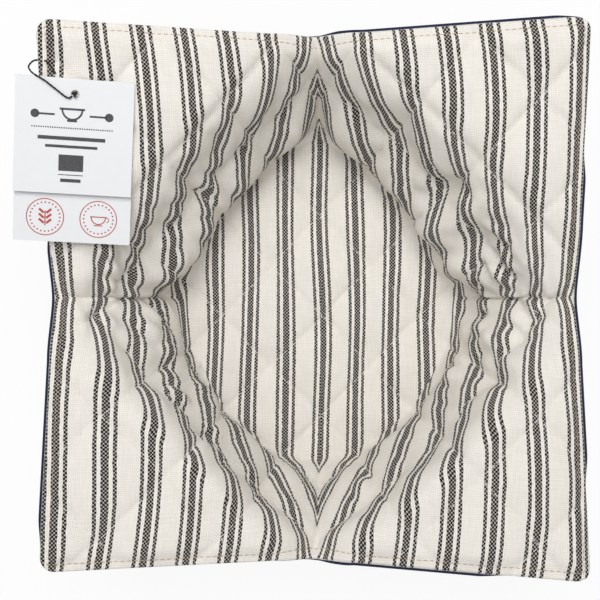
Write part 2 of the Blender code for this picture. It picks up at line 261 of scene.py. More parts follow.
def inkMaterial(name, code):
    # offset ink sunk into uncoated card: flat colour with a little card showing through
    made, tree, shader, _ = newMaterial(name)
    speck = grainNode(tree, inkLook["speck"], 2.0)
    bare = rangeNode(tree, speck, inkLook["speckSpan"], inkLook["cardShare"])
    colour = colourMix(tree, bare, hexColour(code), hexColour("#E9E9EA"))
    tree.links.new(colour, shader.inputs["Base Color"])
    shader.inputs["Roughness"].default_value = 0.6
    return made


stripedCotton = weaveMaterial("woven ticking cotton", "#F5F0E8", "#150E0F", "#251D1E", 0.9)
navyCotton = weaveMaterial("woven navy cotton", "#1F2540", None, "#2B3252", 0.88)
wadding = threadMaterial("felted cotton wadding", "#E4E1DA")
creamThread = threadMaterial("spun cream thread", "#EFEAE0")
tanThread = threadMaterial("spun tan thread", "#B8A084")
navyThread = threadMaterial("spun navy thread", "#3A4163")
darkString = threadMaterial("twisted dark string", "#1C1C20")
whiteCard = cardMaterial()
greyInk = inkMaterial("dark grey ink", "#3A3A3D")
redInk = inkMaterial("brick red ink", "#B5473F")
print("materials made")

# The pad's form, in metres: the rule and sizes of its CAD layers, with more cloth in it

pad = {
    "halfSpan": 0.130,
    "cornerRadius": 0.0075,
    "notchInset": 0.0030,
    "footReachX": 0.0820,
    "footReachY": 0.0960,
    "footSquareness": 1.7,  # 1 is a diamond, 2 an ellipse
    "baseShiftX": 0.0055,
    "notchRise": 0.0740,
    "cornerRise": 0.0900,
    "foldAtDart": 0.0920,
    "foldAtCorner": 0.1000,
    "footRound": 0.12,  # share of the wall over which its foot is rounded
    "wallBulge": 0.30,  # 0 is a straight wall, 1 one that starts twice as steep and ends level
    "bulgeDarts": 0.35,  # more of it beside every dart
    "bulgeSides": 0.15,  # more of it at the side darts, less at the front and back ones
    "bendHeight": 0.0170,
    "seamSoftness": 0.0022,
    "quarterBlend": 0.02,  # the four quarters blend this far either side of the middle lines
    "normalStep": 0.0010,
    "stack": 0.0048,
    "edgeTaper": 0.0095,
    "edgeThickness": 0.0017,
    "edgeRound": 0.0012,
    "edgeLift": 0.25,  # share of the waves and puffs left at the rim
    "clothThickness": 0.0005,
    "seamFill": 0.0030,
    "stitchInset": 0.0032,
    "stitchGroove": 0.0004,
    "stitchGrooveWidth": 0.0009,
    "underPuffs": 0.5,  # share of the wall over which the outside's puffs grow, as the underside is flat
    "underWaves": 0.25,
    "gridLines": 199,
    "fineSteps": 4001,
    "rimLines": (0.0, 0.15, 0.4, 0.8, 1.4),  # mm from the rim
    "rimBand": 2.4,  # mm
    "seamDensity": 2.2,  # the net's lines lie this much closer together beside a dart's seam
    "seamBand": 0.045,
}

# How the flat cloth is gathered into the bowl

gather = {
    "dartHalfWidth": 0.0366,
    "foldSoftness": 1e-5,
    "haste": -0.15,  # the cloth gathers a little later than the wall rises
    "startSoftness": 0.04,  # share of the wall, either side of its foot, over which the gathering starts
    "endSoftness": 0.2,
    "slack": 0.0050,
    "slackReach": 0.045,
    "quilted": 0.03,  # share by which the quilting shrinks the base's cloth
    "drift": 0.0011,  # how far the stripes stray from straight
    "wallDrift": 0.4,  # share of it that is left on the walls
    "calmShare": 0.3,  # share of the wall over which it fades
    "seamCalm": 0.010,  # width beside a dart over which it fades
    "kinkRight": 0.0056,  # cloth left over at the rim end of each side dart, so that the stripes kink there
    "kinkLeft": 0.0040,
    "kinkReach": 0.0075,
    "kinkStart": 0.086,
    "kinkEnd": 0.118,
}

# Quilting and loose cloth

quilt = {
    "spacing": 0.0417,
    "phase": 0.0075,
    "puff": 0.0033,
    "groove": 0.0006,
    "grooveWidth": 0.0017,
    "footRollPlace": 0.22,  # share of the wall, from its foot
    "footRollWidth": 0.19,
    "footRollStart": 0.16,
    "waveHeight": 0.0026,
    "waveLength": 0.033,
    "waveUneven": (0.75, 0.6, 0.1, 1.5),  # mean, spread, least and most of a wave's height
    "wavePhase": (1.3, 2.6),  # radians, so that left and right, front and back differ
    "sway": 1.6,  # radians by which a wave bends on its way up the wall
    "swayTurns": 2.4,
    "swayLoose": 2.2,
    "valley": 0.01,  # how round the valleys between the waves are
    "creaseHeight": 0.0010,
    "creaseBase": 0.35,
    "creaseWall": 1.2,
    "calmest": 0.45,  # share of the puckers left by the front and back darts; the side darts have them all
    "calmSpan": (-0.3, 0.5),  # how sideways a place lies where the puckers are calmest and fullest
    "seamFlat": 0.016,  # the waves begin beside a dart over this width
    "seamGroove": 0.0013,
    "seamGrooveWidth": 0.0013,
    "seamStart": (0.006, 0.004),  # before and past a dart's tip
    "puckerShift": 0.6,  # share of the base's shift that the puckers follow
}

# Random fields: seed, longest and shortest wave in metres, number of waves

looseFields = {
    "drift": (21, 0.13, 0.055, 7),
    "sway": (3, 0.11, 0.055, 6),
    "height": (5, 0.09, 0.045, 6),
    "crease": (11, 0.034, 0.014, 9),
}

# Where the real corners lie off the even square, right and up, in metres

cornerDrift = {
    (-1, 1): (-0.0003, 0.0005),
    (1, 1): (-0.0003, 0.0014),
    (-1, -1): (0.0015, 0.0014),
    (1, -1): (-0.0008, -0.0033),
}

# How much nearer the middle each quarter's wall starts than the even foot line

footDraw = {(-1, 1): 0.10, (1, 1): 0.165, (-1, -1): -0.01, (1, -1): 0.01}

# How far each quarter's wall rolls in over its foot, in metres

footRolls = {(-1, 1): 0.0062, (1, 1): 0.0060, (-1, -1): 0.0034, (1, -1): 0.0022}

# Puckers beside the darts and across the walls: (x, y, half length, half width, turn in degrees, height)

puckers = (
    (0.0735, 0.0560, 0.011, 0.0034, -22, -0.0042),
    (0.0730, 0.0400, 0.010, 0.0080, -30, 0.0030),
    (0.0890, -0.0090, 0.006, 0.0040, -70, -0.0046),
    (0.0960, -0.0230, 0.012, 0.0050, -60, 0.0024),
    (0.0800, 0.0170, 0.010, 0.0050, 20, 0.0026),
    (-0.0790, 0.0065, 0.008, 0.0040, 60, -0.0040),
    (-0.0820, 0.0210, 0.012, 0.0070, 65, 0.0030),
    (-0.0850, -0.0240, 0.012, 0.0050, -50, 0.0026),
    (-0.0760, -0.0420, 0.010, 0.0036, -42, -0.0026),
    (-0.0520, 0.0760, 0.018, 0.0045, 52, -0.0024),
    (-0.0300, 0.0960, 0.016, 0.0055, 58, 0.0022),
    (0.0440, 0.0860, 0.018, 0.0045, -50, -0.0024),
    (0.0160, 0.1010, 0.012, 0.0050, -60, 0.0024),
    (0.0560, -0.0770, 0.014, 0.0045, 48, -0.0018),
    (0.0860, -0.0560, 0.012, 0.0050, 62, 0.0020),
)

flapSlope = (pad["cornerRise"] - pad["notchRise"]) / (pad["halfSpan"] * root2 - pad["foldAtDart"])


def smoothMax(a, b, width):
    overlap = np.maximum(width - np.abs(a - b), 0.0) / width
    return np.maximum(a, b) + overlap * overlap * width / 4


def smoothMin(a, b, width):
    return -smoothMax(-a, -b, width)


def smoothStep(low, high, value):
    share = np.clip((value - low) / (high - low), 0.0, 1.0)
    return share * share * (3 - 2 * share)


def flapHeight(out):
    return pad["notchRise"] + flapSlope * (out - pad["foldAtDart"])


def quarterValue(x, y, values):
    # the value of the quarter that a point lies in, blended across the middle lines
    right = smoothStep(-pad["quarterBlend"], pad["quarterBlend"], x)
    back = smoothStep(-pad["quarterBlend"], pad["quarterBlend"], y)
    total = 0.0
    for (signX, signY), value in values.items():
        total = total + value * (right if signX > 0 else 1 - right) * (back if signY > 0 else 1 - back)
    return total


def wallPlace(x, y, soft):
    # (share of the way up the wall, below 0 on the base; how sideways it lies; its fold's distance; its own)
    softX = np.hypot(x, soft)
    softY = np.hypot(y, soft)
    out = (softX + softY) / root2
    sideways = (softX - softY) / (softX + softY)
    fold = pad["foldAtCorner"] + (pad["foldAtDart"] - pad["foldAtCorner"]) * sideways**2
    power = pad["footSquareness"]
    reach = ((softX / pad["footReachX"]) ** power + (softY / pad["footReachY"]) ** power) ** (1 / power)
    reach = reach / (1 - quarterValue(x, y, footDraw) * (1 - sideways**2))
    return (reach - 1) / (reach * fold / out - 1), sideways, fold, out


def wallShare(x, y, soft):
    return np.minimum(smoothMax(0.0, wallPlace(x, y, soft)[0], pad["footRound"]), 1.0)


def bulged(share, bulge):
    # a wall's profile: it starts steeper than straight and goes on evenly past the fold
    return np.where(share < 1, share + bulge * share * (1 - share), 1 + (1 - bulge) * (share - 1))


def wallBulge(sideways):
    return pad["wallBulge"] + pad["bulgeDarts"] * sideways**2 + pad["bulgeSides"] * sideways


def rise(x, y):
    share, sideways, fold, out = wallPlace(x, y, pad["seamSoftness"])
    wall = flapHeight(fold) * bulged(smoothMax(0.0, share, pad["footRound"]), wallBulge(sideways))
    return smoothMin(wall, flapHeight(out), pad["bendHeight"])


def faceNormal(x, y):
    step = pad["normalStep"]
    slopeX = (rise(x + step, y) - rise(x - step, y)) / (2 * step)
    slopeY = (rise(x, y + step) - rise(x, y - step)) / (2 * step)
    normal = np.stack([-slopeX, -slopeY, np.ones_like(slopeX)], axis=-1)
    return normal / np.linalg.norm(normal, axis=-1, keepdims=True)


def looseField(u, v, name):
    # a smooth random field from about -1 to 1, the sum of a few plane waves
    seed, longest, shortest, count = looseFields[name]
    draw = np.random.default_rng(seed)
    total = np.zeros_like(u)
    for _ in range(count):
        angle = draw.uniform(0, 2 * math.pi)
        length = draw.uniform(shortest, longest)
        phase = draw.uniform(0, 2 * math.pi)
        total += np.sin(2 * math.pi * (u * math.cos(angle) + v * math.sin(angle)) / length + phase)
    return total / math.sqrt(count)


def clothReach(x, y):
    # how far out on the flat cloth a plan point lies, along and across the stripes, without its sign
    share, sideways, _, _ = wallPlace(x, y, gather["foldSoftness"])
    bulge = np.minimum(wallBulge(sideways) + gather["haste"], 1.0)
    share = smoothMin(smoothMax(0.0, share, gather["startSoftness"]), 1.0, gather["endSoftness"])
    taken = bulged(share, bulge)
    quilted = gather["quilted"]
    reaches = []
    for plain, foot in ((np.abs(x), pad["footReachX"]), (np.abs(y), pad["footReachY"])):
        slack = gather["slack"] * (1 - np.exp(-plain / gather["slackReach"]))
        onBase = quilted * np.minimum(plain, foot)
        onWall = gather["dartHalfWidth"] + slack + quilted * foot / 2
        reaches.append(plain + onBase * (1 - taken) + onWall * taken)
    # the cloth isn't laid quite straight; nil where a dart's two edges meet
    calm = 1 - smoothStep(0.0, gather["calmShare"], share)
    near = smoothStep(0.0, gather["seamCalm"], np.minimum(np.abs(x), np.abs(y)))
    left = gather["wallDrift"]
    drift = gather["drift"] * (left + (1 - left) * calm) * (near + (1 - near) * calm)
    kink = np.where(x > 0, gather["kinkRight"], gather["kinkLeft"]) * np.exp(-np.abs(y) / gather["kinkReach"])
    reaches[0] = reaches[0] + kink * smoothStep(gather["kinkStart"], gather["kinkEnd"], np.abs(x))
    return reaches[0] + np.copysign(1.0, x) * drift * looseField(x, y, "drift"), reaches[1]


def billow(value):
    # turns waves into full pads with narrow valleys between them
    return 2 * np.sqrt(value**2 + quilt["valley"]) - 1


def puffOfQuilting(u, v):
    # one puff to each diamond, with a groove along every line of stitches
    first = np.sin(math.pi * ((u + v) / root2 + quilt["phase"]) / quilt["spacing"])
    second = np.sin(math.pi * ((u - v) / root2 - quilt["phase"]) / quilt["spacing"])
    puff = quilt["puff"] * np.sqrt(np.abs(first * second))
    for line in (first, second):
        puff -= quilt["groove"] * np.exp(-((line * quilt["spacing"] / math.pi / quilt["grooveWidth"]) ** 2))
    return puff


def clothLift(x, y):
    # how far the padded cloth stands off the plain form: (waves of both faces, puff of the quilting)
    reachX, reachY = clothReach(x, y)
    u, v = np.copysign(reachX, x), np.copysign(reachY, y)
    share = wallShare(x, y, pad["seamSoftness"])
    _, sideways, _, _ = wallPlace(x, y, pad["seamSoftness"])
    onWall = np.sin(math.pi * share)
    fromSeam = smoothStep(0.0, quilt["seamFlat"], np.minimum(np.abs(x), np.abs(y)))
    ruffled = quilt["calmest"] + (1 - quilt["calmest"]) * smoothStep(*quilt["calmSpan"], sideways)
    # the roll over the wall's foot
    bell = np.exp(-(((share - quilt["footRollPlace"]) / quilt["footRollWidth"]) ** 2))
    roll = quarterValue(x, y, footRolls) * bell
    roll = roll * smoothStep(0.0, quilt["footRollStart"], share)
    # long waves that run up the wall, and small creases between them
    across = (np.abs(x) - np.abs(y)) / root2
    leftPhase, frontPhase = quilt["wavePhase"]
    quarter = np.where(x > 0, 0.0, leftPhase) + np.where(y > 0, 0.0, frontPhase)
    bend = quilt["sway"] * np.sin(quilt["swayTurns"] * math.pi * share + quarter)
    bend = bend + quilt["swayLoose"] * looseField(u, v, "sway")
    mean, spread, least, most = quilt["waveUneven"]
    uneven = np.clip(mean + spread * looseField(u, v, "height"), least, most)
    crest = np.sin(math.pi * across / quilt["waveLength"] + quarter + bend / 2)
    wave = quilt["waveHeight"] * uneven * billow(crest)
    waves = wave * onWall * fromSeam * ruffled + roll * fromSeam
    loose = looseField(u, v, "crease")
    waves += quilt["creaseHeight"] * (
        quilt["creaseBase"] * loose + quilt["creaseWall"] * onWall * ruffled * billow(loose))
    for middleX, middleY, halfLength, halfWidth, degrees, height in puckers:
        cos, sin = math.cos(math.radians(degrees)), math.sin(math.radians(degrees))
        awayX, awayY = x + pad["baseShiftX"] * quilt["puckerShift"] - middleX, y - middleY
        along = (awayX * cos + awayY * sin) / halfLength
        beside = (awayY * cos - awayX * sin) / halfWidth
        waves += height * np.exp(-(along**2) - beside**2)
    # each dart is stitched tight, so its seam lies in a narrow valley
    before, past = quilt["seamStart"]
    for along, away, tip in ((np.abs(x), np.abs(y), pad["footReachX"]),
                             (np.abs(y), np.abs(x), pad["footReachY"])):
        sewn = smoothStep(tip - before, tip + past, along)
        waves -= quilt["seamGroove"] * sewn * np.exp(-((away / quilt["seamGrooveWidth"]) ** 2))
    return waves, puffOfQuilting(u, v)


def planGrid():
    # plan points of a square net of lines, closer together at the rim, fitted to the rounded outline
    rimLines = np.array(pad["rimLines"]) * mm / pad["halfSpan"]
    inner = 1 - pad["rimBand"] * mm / pad["halfSpan"]
    fine = np.linspace(-inner, inner, pad["fineSteps"])
    density = 1 + pad["seamDensity"] * np.exp(-((fine / pad["seamBand"]) ** 2))
    run = np.concatenate([[0.0], np.cumsum((density[1:] + density[:-1]) / 2)])
    spread = np.interp(np.linspace(0, run[-1], pad["gridLines"]), run, fine)
    lines = np.concatenate([-1 + rimLines, spread, (1 - rimLines)[::-1]])
    a, b = np.meshgrid(lines, lines, indexing="ij")
    x = a * (pad["halfSpan"] - pad["notchInset"] * (1 - np.abs(b)))
    y = b * (pad["halfSpan"] - pad["notchInset"] * (1 - np.abs(a)))
    start = pad["halfSpan"] - pad["cornerRadius"]
    cornerX = np.maximum(np.abs(x) - start, 0) / pad["cornerRadius"]
    cornerY = np.maximum(np.abs(y) - start, 0) / pad["cornerRadius"]
    roundX = start + pad["cornerRadius"] * cornerX * np.sqrt(1 - cornerY**2 / 2)
    roundY = start + pad["cornerRadius"] * cornerY * np.sqrt(1 - cornerX**2 / 2)
    inCorner = (cornerX > 0) & (cornerY > 0)
    x = np.where(inCorner, np.copysign(roundX, x), x)
    y = np.where(inCorner, np.copysign(roundY, y), y)
    fromRim = (1 - np.maximum(np.abs(a), np.abs(b))) * pad["halfSpan"]
    return a, b, x, y, fromRim


gridA, gridB, planX, planY, fromRim = planGrid()
formHeight = rise(planX, planY)
formNormal = faceNormal(planX, planY)
waveLift, puffLift = clothLift(planX, planY)
reachU, reachV = clothReach(planX, planY)
wallAmount = wallShare(planX, planY, pad["seamSoftness"])

# Stretches of the rim where the navy back shows past the striped face

peek = {
    "width": 0.0016,
    "depth": 0.0024,  # of the band inside the rim that is drawn out
    "sideSpan": (0.93, 0.97),  # share of the half span from which a point belongs to the side
    "fade": 0.008,
    "stretches": ((0, -1, -0.112, 0.028), (0, 1, -0.080, 0.062),  # axis, side, from, to
                  (1, 1, 0.004, 0.120), (1, -1, 0.000, 0.085)),
}


def peekAmount(axis, sign, low, high):
    # 1 on the stretch from low to high of one side's rim, 0 elsewhere
    along, toward = (planY, gridA) if axis == 0 else (planX, gridB)
    beside = 1 - smoothStep(0.0, peek["depth"], fromRim)
    onSide = smoothStep(*peek["sideSpan"], toward * sign)
    begun = smoothStep(low - peek["fade"], low + peek["fade"], along)
    ended = smoothStep(high - peek["fade"], high + peek["fade"], along)
    return beside * onSide * (begun * (1 - ended))


def padSurface(part):
    # part: 1 is the inner face, -1 the outer face; values between lie within the pad
    full = smoothStep(0.0, pad["edgeTaper"], fromRim)
    edge = np.clip(fromRim / pad["edgeRound"], 0.0, 1.0)
    rounded = np.sqrt(1 - (1 - edge) ** 2)
    thick = (pad["edgeThickness"] + (pad["stack"] - pad["edgeThickness"]) * full) * rounded
    down = pad["stack"] / 2 - part * thick / 2
    puff = puffLift * part
    waves = waveLift
    if part < 0:
        puff = puff * smoothStep(0.0, pad["underPuffs"], wallAmount)
        waves = waves * smoothStep(0.0, pad["underWaves"], wallAmount)
    lift = (waves + puff) * (pad["edgeLift"] + (1 - pad["edgeLift"]) * full) * rounded - down
    sunk = np.exp(-(((fromRim - pad["stitchInset"]) / pad["stitchGrooveWidth"]) ** 2))
    lift = lift - part * pad["stitchGroove"] * sunk
    reach = np.minimum(np.maximum(np.abs(planX), np.abs(planY)) / pad["halfSpan"], 1.0)
    shifted = planX + pad["baseShiftX"] * (1 - reach**4)
    place = np.stack([shifted, planY, formHeight + pad["stack"]], axis=-1)
    if part < 0:
        for axis, sign, low, high in peek["stretches"]:
            place[..., axis] += sign * peek["width"] * peekAmount(axis, sign, low, high)
    for (signX, signY), (driftX, driftY) in cornerDrift.items():
        pull = np.clip(gridA * signX, 0, 1) * np.clip(gridB * signY, 0, 1) * reach**2
        place[..., 0] += pull * driftX
        place[..., 1] += pull * driftY
    return place + formNormal * lift[..., None]


def addObject(name, data):
    made = bpy.data.objects.new(name, data)
    bpy.context.collection.objects.link(made)
    return made


def netQuads(net, up):
    a, b, c, d = net[:-1, :-1], net[1:, :-1], net[1:, 1:], net[:-1, 1:]
    order = (a, b, c, d) if up else (a, d, c, b)
    return np.stack(order, axis=-1).reshape(-1, 4)


def quarterSigns(x, y, faces):
    # a face takes its quarter's sign, so that the flat cloth keeps a dart's gap
    return np.sign(x[faces].sum(axis=1)), np.sign(y[faces].sum(axis=1))


def shellMesh(name, outer, inner, facingUp):
    # a closed thin shell whose two faces share the rim's line of points
    rows = outer.shape[0]
    index = np.arange(rows * rows).reshape(rows, rows)
    within = np.zeros((rows, rows), bool)
    within[1:-1, 1:-1] = True
    innerIndex = index.copy()
    innerIndex[within] = rows * rows + np.arange(within.sum())
    points = np.concatenate([outer.reshape(-1, 3), inner[within]])
    faces = np.concatenate([netQuads(index, facingUp), netQuads(innerIndex, not facingUp)])
    mesh = bpy.data.meshes.new(name)
    mesh.from_pydata(points.tolist(), [], faces.tolist())
    # flat cloth coordinates in millimetres
    flatU, flatV, signX, signY = (np.concatenate([values.reshape(-1), values[within]])
                                  for values in (reachU / mm, reachV / mm, planX, planY))
    sideU, sideV = quarterSigns(signX, signY, faces)
    corners = np.stack([flatU[faces] * sideU[:, None], flatV[faces] * sideV[:, None]], axis=-1)
    layer = mesh.uv_layers.new(name="cloth")
    layer.data.foreach_set("uv", corners.reshape(-1).astype(np.float32))
    mesh.shade_smooth()
    mesh.update()
    return addObject(name, mesh)


# Shares of the gap between the pad's two faces

layers = {
    "clothMost": 0.42,
    "clearance": 0.15,  # of the cloth's own share, between the cloth and the wadding
    "battingMost": 0.45,
    "rimLeft": 0.04,
    "battingLeft": 0.02,
}

innerFace = padSurface(1)
outerFace = padSurface(-1)
between = outerFace - innerFace
gapLength = np.linalg.norm(between, axis=-1, keepdims=True)
clothShare = np.minimum(pad["clothThickness"] / np.maximum(gapLength, 1e-9), layers["clothMost"])
# the back's seam allowance fills the rim, so that the wadding ends inside it
battingStart = np.minimum(clothShare * (1 + layers["clearance"]), layers["battingMost"])
rimAmount = 1 - smoothStep(0.0, pad["seamFill"], fromRim)[..., None]
backShare = clothShare + (1 - battingStart - layers["rimLeft"] - clothShare) * rimAmount
battingLimit = 1 - layers["battingLeft"] - battingStart
battingEnd = np.minimum(backShare + layers["clearance"] * clothShare, battingLimit)

liner = shellMesh("striped_liner", innerFace, innerFace + between * clothShare, True)
liner.data.materials.append(stripedCotton)
backing = shellMesh("navy_backing", outerFace, outerFace - between * backShare, False)
backing.data.materials.append(navyCotton)
batting = shellMesh("cotton_batting", innerFace + between * battingStart,
                    outerFace - between * battingEnd, True)
batting.data.materials.append(wadding)
print("pad made", len(liner.data.polygons), "faces a cloth")

# Stitches: short rounded lengths of thread along paths that lie on the cloth

stitch = {
    "edgePitch": 0.0031,
    "edgeLength": 0.0025,
    "quiltPitch": 0.0033,
    "quiltLength": 0.0026,
    "threadWidth": 0.00042,
    "sink": 0.00008,
    "sampleStep": 0.0012,
    "longestJump": 4,  # steps between two samples of one unbroken line
    "fewestSamples": 6,
    "reach": 0.175,  # a little past the flat cloth's half side
    "endInset": 0.010,  # the quilting ends this far inside it
    "unevenness": (0.9, 1.06),
}


def clothFinder(surface):
    # finds the place and normal on a face of the pad for a point of the flat cloth
    rows = surface.shape[0]
    points = surface.reshape(-1, 3)
    quads = netQuads(np.arange(rows * rows).reshape(rows, rows), True)
    sideU, sideV = quarterSigns(planX.reshape(-1), planY.reshape(-1), quads)
    flat = []
    for quad, su, sv in zip(quads, sideU, sideV):
        for corner in quad:
            flat.append((reachU.flat[corner] * su, reachV.flat[corner] * sv, 0.0))
    faces = [(4 * i, 4 * i + 1, 4 * i + 2) for i in range(len(quads))]
    faces += [(4 * i, 4 * i + 2, 4 * i + 3) for i in range(len(quads))]
    tree = BVHTree.FromPolygons(flat, faces)
    corners = [points[corner] for quad in quads for corner in quad]

    def find(u, v):
        hit = tree.ray_cast(Vector((u, v, 1.0)), Vector((0, 0, -1)))
        if hit[0] is None:
            return None
        a, b, c = faces[hit[2]]
        where = barycentric_transform(hit[0], *(Vector(flat[k]) for k in (a, b, c)),
                                      *(Vector(corners[k]) for k in (a, b, c)))
        normal = (Vector(corners[b]) - Vector(corners[a])).cross(Vector(corners[c]) - Vector(corners[a]))
        return where, normal.normalized()

    return find


def quiltPaths(find, side):
    # the 45 degree lines of the quilting; a line breaks where it runs into a dart or off the cloth
    paths = []
    reach = stitch["reach"]
    count = int(2 * reach / quilt["spacing"]) + 2
    for slant in (1, -1):
        for line in range(-count, count + 1):
            offset = line * quilt["spacing"] - slant * quilt["phase"]
            runs = [[]]
            for step in np.arange(-2 * reach, 2 * reach, stitch["sampleStep"]):
                u, v = (offset + step) / root2, slant * (offset - step) / root2
                inside = max(abs(u), abs(v)) < reach - stitch["endInset"]
                found = find(u, v) if inside else None
                if found is None:
                    runs.append([])
                    continue
                where, normal = found
                run = runs[-1]
                if run and (where - run[-1]).length > stitch["longestJump"] * stitch["sampleStep"]:
                    run = []
                    runs.append(run)
                run.append(where + normal * stitch["sink"] * side)
            paths += [run for run in runs if len(run) > stitch["fewestSamples"]]
    return paths


def edgePath(surface, side):
    # one closed line just inside the rim, read from the net
    rows = surface.shape[0]
    depth = pad["stitchInset"] / pad["halfSpan"]
    line = gridA[:, 0]
    k = int(np.argmin(np.abs(line - (-1 + depth))))
    far = rows - 1 - k
    ring = [(i, k) for i in range(k, far)] + [(far, j) for j in range(k, far)]
    ring += [(i, far) for i in range(far, k, -1)] + [(k, j) for j in range(far, k, -1)]
    points = [Vector(surface[i, j]) for i, j in ring]
    lift = [Vector(formNormal[i, j]) * stitch["sink"] * side for i, j in ring]
    return [p + q for p, q in zip(points, lift)] + [points[0] + lift[0]]


def stitchRow(name, paths, pitch, length, material):
    # Geometry Nodes lay one stitch at every pitch along each path
    mesh = bpy.data.meshes.new(name + "_paths")
    points, edges = [], []
    for path in paths:
        start = len(points)
        points += [tuple(p) for p in path]
        edges += [(start + i, start + i + 1) for i in range(len(path) - 1)]
    mesh.from_pydata(points, edges, [])
    holder = addObject(name + "_paths", mesh)
    tree = bpy.data.node_groups.new(name, "GeometryNodeTree")
    tree.interface.new_socket("Geometry", in_out="INPUT", socket_type="NodeSocketGeometry")
    sockets = {}
    sizes = (("Pitch", pitch), ("Stitch length", length), ("Thread width", stitch["threadWidth"]))
    for label, value in sizes:
        socket = tree.interface.new_socket(label, in_out="INPUT", socket_type="NodeSocketFloat")
        sockets[socket.identifier] = value
    tree.interface.new_socket("Geometry", in_out="OUTPUT", socket_type="NodeSocketGeometry")
    given = addNode(tree, "NodeGroupInput")
    curve = addNode(tree, "GeometryNodeMeshToCurve", {"Mesh": given.outputs["Geometry"]})
    spots = addNode(tree, "GeometryNodeCurveToPoints",
                    {"Curve": curve.outputs[0], "Length": given.outputs["Pitch"]}, mode="LENGTH")
    bead = addNode(tree, "GeometryNodeMeshUVSphere", {"Segments": 6, "Rings": 5, "Radius": 0.5})
    width = given.outputs["Thread width"]
    size = addNode(tree, "ShaderNodeCombineXYZ", {0: width, 1: width, 2: given.outputs["Stitch length"]})
    drawn = addNode(tree, "GeometryNodeTransform", {"Geometry": bead.outputs[0], "Scale": size.outputs[0]})
    shortest, longest = stitch["unevenness"]
    uneven = addNode(tree, "FunctionNodeRandomValue", {2: shortest, 3: longest, "Seed": 5}, data_type="FLOAT")
    placed = addNode(tree, "GeometryNodeInstanceOnPoints", {
        "Points": spots.outputs["Points"], "Instance": drawn.outputs[0],
        "Rotation": spots.outputs["Rotation"], "Scale": uneven.outputs[1]})
    real = addNode(tree, "GeometryNodeRealizeInstances", {0: placed.outputs[0]})
    smooth = addNode(tree, "GeometryNodeSetShadeSmooth", {0: real.outputs[0]})
    dressed = addNode(tree, "GeometryNodeSetMaterial", {0: smooth.outputs[0], "Material": material})
    addNode(tree, "NodeGroupOutput", {0: dressed.outputs[0]})
    modifier = holder.modifiers.new("stitches", "NODES")
    modifier.node_group = tree
    for identifier, value in sockets.items():
        modifier[identifier] = value
    baked = bpy.data.meshes.new_from_object(holder.evaluated_get(bpy.context.evaluated_depsgraph_get()))
    holder.modifiers.clear()
    bpy.data.objects.remove(holder)
    return addObject(name, baked)


findInner = clothFinder(innerFace)
findOuter = clothFinder(outerFace)
edgeSizes = (stitch["edgePitch"], stitch["edgeLength"])
quiltSizes = (stitch["quiltPitch"], stitch["quiltLength"])
edgeInner = stitchRow("edge_stitches", [edgePath(innerFace, 1)], *edgeSizes, tanThread)
edgeOuter = stitchRow("edge_stitches_back", [edgePath(outerFace, -1)], *edgeSizes, navyThread)
quiltInner = stitchRow("quilting_stitches", quiltPaths(findInner, 1), *quiltSizes, creamThread)
quiltOuter = stitchRow("quilting_stitches_back", quiltPaths(findOuter, -1), *quiltSizes, navyThread)
print("stitches made", len(quiltInner.data.polygons))

# The string, along the route of its CAD tube: two plies laid together

cordSizes = {"diameter": 0.0009, "lay": 0.0021, "sides": 12, "ringStep": 0.00022, "plyDepth": 0.24,
             "routeSteps": 24}
stringRoute = (
    (-0.1131, 0.0940, 0.0930), (-0.1145, 0.0932, 0.0932), (-0.1162, 0.0938, 0.0935),
    (-0.1188, 0.0958, 0.0940), (-0.1222, 0.0985, 0.0948), (-0.1253, 0.1009, 0.0954),
    (-0.1283, 0.1027, 0.0956), (-0.1312, 0.1046, 0.0951), (-0.1332, 0.1074, 0.0937),
    (-0.1330, 0.1100, 0.0913), (-0.1320, 0.1119, 0.0890), (-0.1296, 0.1125, 0.0875),
    (-0.1277, 0.1121, 0.0868), (-0.1268, 0.1114, 0.0877), (-0.1266, 0.1113, 0.0898),
    (-0.1263, 0.1111, 0.0914), (-0.1251, 0.1105, 0.0924), (-0.1232, 0.1083, 0.0923),
    (-0.1212, 0.1052, 0.0920), (-0.1184, 0.1025, 0.0914), (-0.1148, 0.0988, 0.0906),
    (-0.1129, 0.0964, 0.0901), (-0.1121, 0.0954, 0.0905), (-0.1120, 0.0952, 0.0920),
)


def smoothRoute(route, step):
    # points at even steps along a curve that runs smoothly through the route's own points
    points = [Vector(p) for p in route]
    points = [2 * points[0] - points[1], *points, 2 * points[-1] - points[-2]]
    fine = []
    for i in range(len(points) - 3):
        a, b, c, d = points[i : i + 4]
        for k in range(cordSizes["routeSteps"]):
            t = k / cordSizes["routeSteps"]
            curve = 2 * b + (c - a) * t + (2 * a - 5 * b + 4 * c - d) * t**2 + (3 * b - a - 3 * c + d) * t**3
            fine.append(curve / 2)
    fine.append(points[-2])
    lengths = np.concatenate([[0], np.cumsum([(q - p).length for p, q in zip(fine, fine[1:])])])
    places = np.linspace(0, lengths[-1], int(lengths[-1] / step) + 1)
    table = np.array(fine)
    return [Vector([np.interp(s, lengths, table[:, k]) for k in range(3)]) for s in places], lengths[-1]


def meshObject(name, mesh, material):
    bmesh.ops.recalc_face_normals(mesh, faces=mesh.faces)
    data = bpy.data.meshes.new(name)
    mesh.to_mesh(data)
    mesh.free()
    data.materials.append(material)
    return addObject(name, data)


